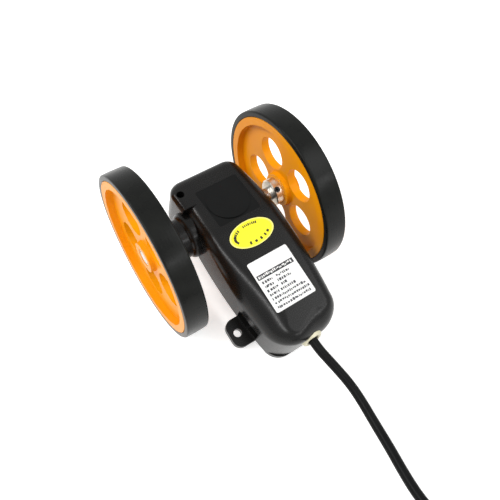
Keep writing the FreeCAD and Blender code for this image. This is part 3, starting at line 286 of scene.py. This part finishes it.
def makePaper(s):
    material, tree, shader, where = startMaterial("laminatedPaper", s)
    fibre = addNode(tree, "ShaderNodeTexNoise", {"Scale": perMm(s["fibreMm"]), **s["fibre"]},
                    {"Vector": where}).outputs[0]
    joinPatterns(tree, shader, s, colour=fibre, roughness=fibre, relief=fibre)
    return material


labelPaper = makePaper(paperSettings)

# Vinyl of the sticker, printed: strong yellow, with a thin dark line near its edge and a paler rim
stickerMiddle = Vector((3.0, -21.0, 20.0))  # mm in the casing's own axes
vinylSettings = {
    "shader": {"IOR": 1.5}, "place": bodyFrame @ (stickerMiddle * mm), "turn": (lean, 0, 0),
    "halfAxes": (12.85, 7.25),  # mm from the middle of the oval to its edge
    "grainMm": 1.2, "grain": {"Detail": 4.0, "Roughness": 0.6},
    "face": {0.3: "#f0ea20", 0.7: "#f4ee26"},
    "rim": {0.9: "#a9a41c", 0.925: "#f0ea5a", 1.0: "#f4ef8c"},  # by share of the way to the edge
    "roughness": {0.3: 0.38, 0.7: 0.48}, "reliefMm": 0.01, "relief": 0.2,
}


def makeVinyl(s):
    material, tree, shader, where = startMaterial("yellowVinyl", s)
    grain = addNode(tree, "ShaderNodeTexNoise", {"Scale": perMm(s["grainMm"]), **s["grain"]},
                    {"Vector": where}).outputs[0]
    shares = (perMm(s["halfAxes"][0]), perMm(s["halfAxes"][1]), 0)
    flat = addNode(tree, "ShaderNodeVectorMath", {"operation": "MULTIPLY", 1: shares}, {0: where})
    wayOut = addNode(tree, "ShaderNodeVectorMath", {"operation": "LENGTH"},
                     {0: flat.outputs[0]}).outputs["Value"]
    face = addNode(tree, "ShaderNodeValToRGB", {"stops": s["face"]}, {"Fac": grain})
    rim = addNode(tree, "ShaderNodeValToRGB", {"stops": s["rim"]}, {"Fac": wayOut})
    isRim = addNode(tree, "ShaderNodeMath", {"operation": "GREATER_THAN", 1: min(s["rim"])}, {0: wayOut})
    both = addNode(tree, "ShaderNodeMixRGB", {}, {"Fac": isRim.outputs[0], "Color1": face.outputs[0],
                                                  "Color2": rim.outputs[0]})
    tree.links.new(both.outputs[0], shader.inputs["Base Color"])
    joinPatterns(tree, shader, s, roughness=grain, relief=grain)
    return material


stickerVinyl = makeVinyl(vinylSettings)

# Glass laminate of the board, solder-masked: green and smooth, with the weave showing faintly
boardSettings = {
    "shader": {"IOR": 1.55}, "place": shaftSpot, "turn": (lean, 0, 0), "weaveMm": 0.8,
    "colour": {0.0: "#1f5b34", 1.0: "#256a3d"}, "roughness": {0.0: 0.3, 1.0: 0.36},
    "reliefMm": 0.01, "relief": 0.2,
}


def makeBoard(s):
    material, tree, shader, where = startMaterial("greenGlassLaminate", s)
    weave = addNode(tree, "ShaderNodeTexChecker", {"Scale": perMm(s["weaveMm"])},
                    {"Vector": where}).outputs["Fac"]
    joinPatterns(tree, shader, s, colour=weave, roughness=weave, relief=weave)
    return material


boardLaminate = makeBoard(boardSettings)
print("materials made")

finishes = {
    "orange_plastic": orangePlastic, "tyre_rubber": tyreRubber, "plated_hub": hubMetal,
    "dark_steel": screwSteel, "bright_steel": bearingSteel, "black_casing": casingPlastic,
    "polished_black": badgePlastic, "label_white": labelPaper, "sticker_yellow": stickerVinyl,
    "ivory_plastic": ivoryPlastic, "black_sheath": sheathPvc, "board_green": boardLaminate,
    "black_parts": innerPlastic, "terminal_grey": terminalPlastic, "turned_aluminium": turnedAluminium,
    **coreFinishes,
}
for item in nodes.values():
    for slot in item.material_slots:
        slot.material = finishes[slot.material.name.split(".")[0]]
print("nodes finished")

# The cord: out of the grommet, down to the floor and away, the rest wound in a coil past the view's edge
leadSettings = {
    "route": [(3.0, -62.12, 21.3), (3.0, -67.24, 19.0), (4.9, -76.0, 14.8), (6.9, -87.5, 9.8),
              (7.0, -96.5, 6.2), (5.4, -108.5, 3.4), (3.0, -122.2, 2.6), (-0.1, -135.5, 2.6),
              (-2.1, -147.5, 2.6), (-1.5, -161.5, 2.6), (0.5, -175.0, 2.6)],
    "radius": 2.5,
    "coilRadius": 29.5,
    "pitch": 5.55,  # between turns, and between the two layers
    "turns": 3.5,  # in each layer
    "pointsPerTurn": 24,
    "lengthMetres": 1.487,
    "order": 3,
    "steps": 4,  # of the spline, from each point to the next
    "sides": 8,  # bevel resolution
}


def coilPoints(s):
    # Clockwise from above: inward on the floor, up in half a turn, outward on top
    start = Vector(s["route"][-1])
    heading = (start - Vector(s["route"][-2])).normalized()
    rate = s["pitch"] / (2 * math.pi)
    outside = s["coilRadius"] + s["turns"] * s["pitch"] / 2
    inside = outside - s["turns"] * s["pitch"]
    straight = 2 * s["radius"]  # before the first turn and after the last
    square = Matrix.Rotation(math.atan(rate / outside), 3, "Z") @ heading
    inward = Vector((square.y, -square.x, 0))
    centre = start + heading * straight + inward * outside
    firstAngle = math.atan2(-inward.y, -inward.x)
    layer = 2 * math.pi * s["turns"]
    step = 2 * math.pi / s["pointsPerTurn"]
    outset = 1 / math.cos(step / 2)  # the spline runs inside its points by this share
    points = []
    for index in range(1, int(round((2 * layer + math.pi) / step)) + 1):
        wound = (index - 0.5) * step
        if wound <= layer:
            reach, rise = outside - rate * wound, 0.0
        elif wound < layer + math.pi:
            share = (wound - layer) / math.pi
            reach = inside - rate * math.pi * (share - share * share)
            rise = s["pitch"] * share * share * (3 - 2 * share)
        else:
            reach, rise = inside + rate * (wound - layer - math.pi), s["pitch"]
        angle = firstAngle - wound
        points.append(centre + Vector((math.cos(angle), math.sin(angle), 0)) * reach * outset
                      + Vector((0, 0, rise)))
    last = firstAngle - 2 * layer - math.pi
    outward = Vector((math.cos(last), math.sin(last), 0))
    along = (outward * rate + Vector((math.sin(last), -math.cos(last), 0)) * outside).normalized()
    end = centre + outward * outside + Vector((0, 0, s["pitch"])) + along * straight
    return points + [end], centre


def makeLead(s, material):
    turns, centre = coilPoints(s)
    points = [Vector(p) for p in s["route"]] + turns
    curve = bpy.data.curves.new("leadCord", "CURVE")
    curve.dimensions = "3D"
    spline = curve.splines.new("NURBS")
    spline.points.add(len(points) - 1)
    for point, spot in zip(spline.points, points):
        point.co = (*(spot * mm), 1)
    spline.order_u = s["order"]
    spline.use_endpoint_u = True
    spline.resolution_u = s["steps"]
    curve.bevel_depth = s["radius"] * mm
    curve.bevel_resolution = s["sides"]
    curve.use_fill_caps = True
    curve.materials.append(material)
    return addObject("leadCord", curve), centre * mm


leadCord, coilCentre = makeLead(leadSettings, sheathPvc)
print("cord laid")

# Helpers for meshes
sharpFrom = math.radians(35)  # an edge turned more than this is shaded sharp


def joinLoops(build, loops):
    # Quads from each loop of vertices to the next, and from the last to the first
    for lower, upper in zip(loops, loops[1:] + loops[:1]):
        for i in range(len(lower)):
            ahead = (i + 1) % len(lower)
            build.faces.new((lower[i], lower[ahead], upper[ahead], upper[i]))


def finishMesh(name, build, material, place):
    # A smooth-shaded piece from a bmesh, its sharp edges kept
    mesh = bpy.data.meshes.new(name)
    bmesh.ops.recalc_face_normals(build, faces=build.faces)
    build.to_mesh(mesh)
    build.free()
    mesh.materials.append(material)
    mesh.transform(place)
    mesh.shade_smooth()
    mesh.set_sharp_from_angle(angle=sharpFrom)
    return addObject(name, mesh)


def turnedRing(name, profile, steps, material, place):
    # A closed ring turned about X from a loop of (along the axis, radius) points
    build = bmesh.new()
    angles = [2 * math.pi * i / steps for i in range(steps)]
    joinLoops(build, [[build.verts.new((along, radius * math.cos(angle), radius * math.sin(angle)))
                       for angle in angles] for along, radius in profile])
    return finishMesh(name, build, material, place)


# Tyres: a slightly crowned tread, rounded at its edges, and a bevel that leaves a dark line at the rim
tyreSettings = {
    "radius": standing["wheelRadius"],
    "inside": 44.28 * mm,
    "halfWidth": 6.3 * mm,
    "middle": 43.2 * mm,  # of each tyre, from the middle of the shaft
    "crown": 0.12 * mm,
    "corner": 0.9 * mm,
    "bevel": 0.45 * mm,
    "cornerSteps": 5,
    "crownSteps": 12,
    "steps": 192,
}


def tyreProfile(s):
    # The right half from the rim to the corner, the crown, and the right half mirrored
    half, corner = s["halfWidth"], s["corner"]
    profile = [(half - s["bevel"], s["inside"]), (half, s["inside"] + s["bevel"])]
    edge = s["radius"] - s["crown"] - corner
    for i in range(s["cornerSteps"] + 1):
        angle = math.pi / 2 * i / s["cornerSteps"]
        profile.append((half - corner + corner * math.cos(angle), edge + corner * math.sin(angle)))
    mirrored = [(-along, radius) for along, radius in reversed(profile)]
    for i in range(1, s["crownSteps"]):
        across = 1 - 2 * i / s["crownSteps"]
        profile.append(((half - corner) * across, s["radius"] - s["crown"] * across * across))
    return profile + mirrored


def makeTyre(name, s, sign, material):
    place = Matrix.Translation(shaftSpot + Vector((sign * s["middle"], 0, 0)))
    return turnedRing(name, tyreProfile(s), s["steps"], material, place)


tyres = {side: makeTyre(side + "TyreTread", tyreSettings, sign, tyreRubber)
         for side, sign in (("left", -1), ("right", 1))}
print("tyres made")

# Ink of the printing: flat and dense, a little uneven where it lies thin
inkSettings = {
    "shader": {"IOR": 1.45}, "coverMm": 0.8, "cover": {"Detail": 3.0, "Roughness": 0.6},
    "roughness": {0.3: 0.5, 0.7: 0.6}, "thickMm": 0.03,
}


def makeInk(name, s):
    material, tree, shader, where = startMaterial(name, s)
    cover = addNode(tree, "ShaderNodeTexNoise", {"Scale": perMm(s["coverMm"]), **s["cover"]},
                    {"Vector": where}).outputs[0]
    joinPatterns(tree, shader, s, colour=cover, roughness=cover)
    return material


greyInk = makeInk("greyLabelInk", {**inkSettings, "colour": {0.25: "#2e2f33", 0.75: "#45464b"}})
darkInk = makeInk("darkLabelInk", {**inkSettings, "colour": {0.25: "#1c1d21", 0.75: "#292a30"}})
stickerInk = makeInk("darkStickerInk", {**inkSettings, "colour": {0.25: "#201f0a", 0.75: "#2e2c10"}})

# Printing on the label, in mm: a dark heading bar and rows of plain marks that spell nothing
labelSettings = {
    "middle": 3.0,  # the bar and the rows are measured across from here
    "top": 20.16, "seed": 5,
    "barPlace": -43.65, "barWide": 2.6, "barEnds": (-11.2, 10.8),
    "firstRow": -46.8, "rowStep": 2.42, "rowWide": 1.5,
    "markLong": (0.4, 1.25), "markGap": (0.25, 0.5),
    "markShare": (0.55, 1.0),  # of the row's width
    "rows": [((-10.2, -9.2), (-8.6, -3.8), (-1.8, 5.6)), ((-10.0, -9.2), (-8.4, -5.2), (-2.4, 5.4)),
             ((-10.2, -9.0), (-8.4, -3.4), (-1.8, 1.0)), ((-10.2, -5.2), (-3.6, 5.8)),
             ((-10.2, -9.4), (-8.8, 9.0)), ((-10.2, -9.0), (-8.4, -1.6), (-1.0, 9.8)),
             ((-10.2, -9.0), (-8.4, 0.6), (1.2, 9.8))],
}


def labelMarks(s):
    pick = random.Random(s["seed"])
    marks = []
    for row, runs in enumerate(s["rows"]):
        y = s["firstRow"] - row * s["rowStep"]
        for start, end in runs:
            x = start
            while x < end:
                long = pick.uniform(*s["markLong"])
                wide = s["rowWide"] * pick.uniform(*s["markShare"])
                shift = (s["rowWide"] - wide) * pick.uniform(-0.5, 0.5)  # anywhere across the row
                marks.append((s["middle"] + x + long / 2, y + shift, long, wide, 0))
                x += long + pick.uniform(*s["markGap"])
    return marks


def headingBar(s):
    low, high = s["barEnds"]
    return [(s["middle"] + (low + high) / 2, s["barPlace"], high - low, s["barWide"], 0)]


# Light marks on the dark bar
headingSettings = {
    "seed": 6, "lift": 0.02, "margins": (0.7, 0.9),  # lift over the bar, margins at its two ends
    "markLong": (0.3, 0.9), "markGap": (0.25, 0.55), "markShift": (-0.3, 0.3),
    "markShare": (0.25, 0.6),  # of the bar's width
}


def headingMarks(s, label):
    pick = random.Random(s["seed"])
    x, end = label["barEnds"][0] + s["margins"][0], label["barEnds"][1] - s["margins"][1]
    marks = []
    while x < end:
        long = pick.uniform(*s["markLong"])
        wide = label["barWide"] * pick.uniform(*s["markShare"])
        shift = pick.uniform(*s["markShift"])
        marks.append((label["middle"] + x + long / 2, label["barPlace"] + shift, long, wide, 0))
        x += long + pick.uniform(*s["markGap"])
    return marks


# Marks round the sticker's edge, as plain as the label's
stickerSettings = {
    "halfAxes": (9.9, 4.9), "top": 20.13, "seed": 9,
    "markShare": (0.7, 1.0),  # of the greatest width
    "arcs": [
        # first and last angle in degrees, marks, their length in mm, their greatest width in mm
        (128, 200, 9, (0.7, 1.1), 1.7), (60, 104, 8, (0.5, 0.9), 1.4), (250, 325, 5, (1.0, 1.5), 1.8),
    ],
}


def stickerMarks(s):
    pick = random.Random(s["seed"])
    across, along = s["halfAxes"]
    marks = []
    for start, end, count, longs, widest in s["arcs"]:
        for i in range(count):
            angle = math.radians(start + (end - start) * i / (count - 1))
            x, y = across * math.cos(angle), along * math.sin(angle)
            turn = math.atan2(along * math.cos(angle), -across * math.sin(angle))
            long = pick.uniform(*longs)
            wide = widest * pick.uniform(*s["markShare"])
            marks.append((stickerMiddle.x + x, stickerMiddle.y + y, long, wide, turn))
    return marks


def startTree(name, inputs):
    tree = bpy.data.node_groups.new(name, "GeometryNodeTree")
    tree.interface.new_socket(name="Geometry", in_out="OUTPUT", socket_type="NodeSocketGeometry")
    for label, kind in {"Points": "Geometry", **inputs, "Finish": "Material"}.items():
        tree.interface.new_socket(name=label, in_out="INPUT", socket_type="NodeSocket" + kind)
    return tree, addNode(tree, "NodeGroupInput").outputs


def endTree(tree, entry, instances):
    real = addNode(tree, "GeometryNodeRealizeInstances", {}, {"Geometry": instances})
    dressed = addNode(tree, "GeometryNodeSetMaterial", {}, {"Geometry": real.outputs[0],
                                                            "Material": entry["Finish"]})
    addNode(tree, "NodeGroupOutput", {}, {"Geometry": dressed.outputs[0]})
    return tree


def growPiece(name, tree, mesh, values, place):
    # Runs a geometry tree over a mesh of points and leaves a plain mesh at its place
    piece = addObject(name, mesh)
    modifier = piece.modifiers.new(tree.name, "NODES")
    modifier.node_group = tree
    for socket in tree.interface.items_tree:
        if socket.in_out == "INPUT" and socket.name in values:
            modifier[socket.identifier] = values[socket.name]
    graph = bpy.context.evaluated_depsgraph_get()
    plain = bpy.data.meshes.new_from_object(piece.evaluated_get(graph), depsgraph=graph)
    piece.modifiers.clear()
    plain.transform(place)
    piece.data = plain
    return piece


def blockTree():
    # A thin printed block at each point, as long, wide and turned as the point says
    tree, entry = startTree("printedBlocks", {"Thickness": "Float"})
    long, wide, turn = [
        addNode(tree, "GeometryNodeInputNamedAttribute", {"data_type": "FLOAT", "Name": word}).outputs[0]
        for word in ("long", "wide", "turn")]
    block = addNode(tree, "GeometryNodeMeshCube", {"Size": (1, 1, 1)})
    scale = addNode(tree, "ShaderNodeCombineXYZ", {}, {"X": long, "Y": wide, "Z": entry["Thickness"]})
    spin = addNode(tree, "ShaderNodeCombineXYZ", {}, {"Z": turn})
    laid = addNode(tree, "GeometryNodeInstanceOnPoints", {}, {
        "Points": entry["Points"], "Instance": block.outputs[0], "Scale": scale.outputs[0],
        "Rotation": spin.outputs[0]})
    return endTree(tree, entry, laid.outputs[0])


def printBlocks(name, tree, blocks, top, material):
    # blocks: (x, y, long, wide, turn) in mm and radians, laid at a height over the shaft
    thickness = inkSettings["thickMm"] * mm
    mesh = bpy.data.meshes.new(name + "Points")
    mesh.from_pydata([(block[0] * mm, block[1] * mm, top * mm) for block in blocks], [], [])
    for word, column, unit in (("long", 2, mm), ("wide", 3, mm), ("turn", 4, 1)):
        values = mesh.attributes.new(word, "FLOAT", "POINT")
        values.data.foreach_set("value", [block[column] * unit for block in blocks])
    return growPiece(name, tree, mesh, {"Thickness": thickness, "Finish": material}, bodyFrame)


labelTop = labelSettings["top"]
headingTop = labelTop + headingSettings["lift"]
printing = {
    "labelRows": (labelMarks(labelSettings), labelTop, greyInk),
    "labelHeading": (headingBar(labelSettings), labelTop, darkInk),
    "headingMarks": (headingMarks(headingSettings, labelSettings), headingTop, labelPaper),
    "stickerMarks": (stickerMarks(stickerSettings), stickerSettings["top"], stickerInk),
}
blockLayer = blockTree()
prints = [printBlocks(name, blockLayer, *layer) for name, layer in printing.items()]
print("label and sticker printed")

# The grommet's moulded lip, swelling out round the lead
lipSettings = {
    "place": (3.0, -82.1, 9.2),  # mm in the casing's own axes
    "tilt": math.radians(-16),
    "profile": [(-2.4, 3.3), (-2.4, 5.8), (0.1, 5.8), (0.7, 5.6), (1.15, 5.1), (1.4, 4.4), (1.4, 3.7),
                (1.1, 3.3)],  # mm along the lead and out from its middle
    "steps": 72,
}


def makeLip(s, material):
    turn = Matrix.Rotation(s["tilt"], 4, "X") @ Matrix.Rotation(-math.pi / 2, 4, "Z")
    place = bodyFrame @ Matrix.Translation(Vector(s["place"]) * mm) @ turn
    profile = [(along * mm, radius * mm) for along, radius in s["profile"]]
    return turnedRing("grommetLip", profile, s["steps"], material, place)


grommetLip = makeLip(lipSettings, ivoryPlastic)
print("grommet's lip made")

# The strap that holds the coil, in mm from the coil's middle: pressed thin where the coil lies on it
tieSettings = {
    "angle": math.radians(-60), "width": 7.0, "thick": 0.7, "inside": 16.7, "outside": 42.1,
    "low": 0.08, "high": 10.85, "corner": 2.4, "cornerSteps": 6,
    "floor": 0.01,  # nothing of the strap goes lower
}


def tieLoop(build, s, side, skin):
    # One edge of the strap: a rectangle with round corners, skin mm outside the coil
    corner, reach = s["corner"], s["corner"] + skin
    lowest = s["floor"] if skin else s["low"]
    left, right = s["inside"] + corner, s["outside"] - corner
    under, over = s["low"] + corner, s["high"] - corner
    loop = []
    for number, (x, z) in enumerate(((right, over), (left, over), (left, under), (right, under))):
        for i in range(s["cornerSteps"] + 1):
            angle = math.pi / 2 * (number + i / s["cornerSteps"])
            up = max(z + reach * math.sin(angle), lowest)
            spot = Vector((x + reach * math.cos(angle), side * s["width"] / 2, up))
            loop.append(build.verts.new(spot * mm))
    return loop


def makeTie(s, centre, material):
    build = bmesh.new()
    edges = ((-1, 0), (1, 0), (1, s["thick"]), (-1, s["thick"]))
    joinLoops(build, [tieLoop(build, s, side, skin) for side, skin in edges])
    place = Matrix.Translation((centre.x, centre.y, 0)) @ Matrix.Rotation(s["angle"], 4, "Z")
    return finishMesh("coilTie", build, material, place)


# Nylon of the strap, woven: dull black with a visible rib, and painted shade in the rib's grooves
nylonSettings = {
    "shader": {"IOR": 1.5, "Roughness": 0.7}, "ribMm": 1.2,
    "colour": {0.2: "#141414", 0.8: "#262626"}, "reliefMm": 0.1, "relief": 0.6,
}


def makeTieNylon(s):
    material, tree, shader, where = startMaterial("wovenNylon", s)
    ribAndGrooveShade = addNode(tree, "ShaderNodeTexWave", {"bands_direction": "DIAGONAL", "Scale": waveScale(s["ribMm"])},
                  {"Vector": where}).outputs["Fac"]
    # The colour follows the rib's relief and is darker in the grooves: painted shade
    joinPatterns(tree, shader, s, colour=ribAndGrooveShade, relief=ribAndGrooveShade)
    return material


coilTie = makeTie(tieSettings, coilCentre, makeTieNylon(nylonSettings))
print("coil tied")

# Floor and light, in metres and watts
stageSettings = {
    "floorSide": 6.0,
    "floorColour": "#f2f2f0",
    "floorGlow": 0.62,
    "worldColour": "#ffffff",
    "worldStrength": 0.42,
    "lampAim": (0, 0, 0.04),
    "lamps": {
        "keyLamp": {"place": (-0.55, 0.0, 0.85), "long": 1.2, "wide": 0.08, "watts": 8.5},
        "fillLamp": {"place": (0.5, -0.5, 0.85), "long": 0.5, "wide": 0.5, "watts": 2.5},
        "bandLamp": {"place": (0.32, -0.85, 0.52), "long": 0.8, "wide": 0.05, "watts": 2.5},
    },
}
white = (1, 1, 1, 1)


def backgroundRays(tree):
    # 1 for the rays that are to meet a white background, straight or by way of metal and glass
    rays = addNode(tree, "ShaderNodeLightPath")
    found = rays.outputs["Is Camera Ray"]
    for word in ("Is Transmission Ray", "Is Glossy Ray"):
        either = addNode(tree, "ShaderNodeMath", {"operation": "MAXIMUM"}, {0: found, 1: rays.outputs[word]})
        found = either.outputs[0]
    return found


def makeFloor(s):
    mesh = bpy.data.meshes.new("floor")
    half = s["floorSide"] / 2
    corners = [(-half, -half, 0), (half, -half, 0), (half, half, 0), (-half, half, 0)]
    mesh.from_pydata(corners, [], [(0, 1, 2, 3)])
    floor = addObject("floor", mesh)
    material = bpy.data.materials.new("paleFloor")
    material.use_nodes = True
    tree = material.node_tree
    tree.nodes.clear()
    matt = addNode(tree, "ShaderNodeBsdfDiffuse", {"Color": linear(s["floorColour"])})
    amount = addNode(tree, "ShaderNodeMath", {"operation": "MULTIPLY", 1: s["floorGlow"]},
                     {0: backgroundRays(tree)})
    glow = addNode(tree, "ShaderNodeEmission", {"Color": white}, {"Strength": amount.outputs[0]})
    both = addNode(tree, "ShaderNodeAddShader", {}, {0: matt.outputs[0], 1: glow.outputs[0]})
    addNode(tree, "ShaderNodeOutputMaterial", {}, {"Surface": both.outputs[0]})
    mesh.materials.append(material)


def makeWorld(s):
    world = bpy.data.worlds.new("studio")
    bpy.context.scene.world = world
    world.use_nodes = True
    tree = world.node_tree
    tree.nodes.clear()
    room = addNode(tree, "ShaderNodeBackground",
                   {"Color": linear(s["worldColour"]), "Strength": s["worldStrength"]})
    clear = addNode(tree, "ShaderNodeBackground", {"Color": white, "Strength": 1.0})
    mixed = addNode(tree, "ShaderNodeMixShader", {}, {0: backgroundRays(tree), 1: room.outputs[0],
                                                      2: clear.outputs[0]})
    addNode(tree, "ShaderNodeOutputWorld", {}, {"Surface": mixed.outputs[0]})


def makeLamps(s):
    for name, lamp in s["lamps"].items():
        data = bpy.data.lights.new(name, "AREA")
        data.shape, data.size, data.size_y = "RECTANGLE", lamp["long"], lamp["wide"]
        data.energy = lamp["watts"]
        item = addObject(name, data)
        item.location = lamp["place"]
        aim = Vector(s["lampAim"]) - Vector(lamp["place"])
        item.rotation_euler = aim.to_track_quat("-Z", "Y").to_euler()


makeFloor(stageSettings)
makeWorld(stageSettings)
makeLamps(stageSettings)
bpy.context.scene.view_settings.view_transform = "Standard"
print("stage lit")

# Bodies: each new piece goes with its body, and the parts that it stands in for are hidden
for side, tyre in tyres.items():
    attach(tyre, "wheel_set")
    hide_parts(side + "_tyre")
for piece in prints:
    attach(piece, "housing")
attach(grommetLip, "housing")
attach(coilTie, "housing")
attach(leadCord, "housing")
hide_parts("cable_lead", "cable_coil")
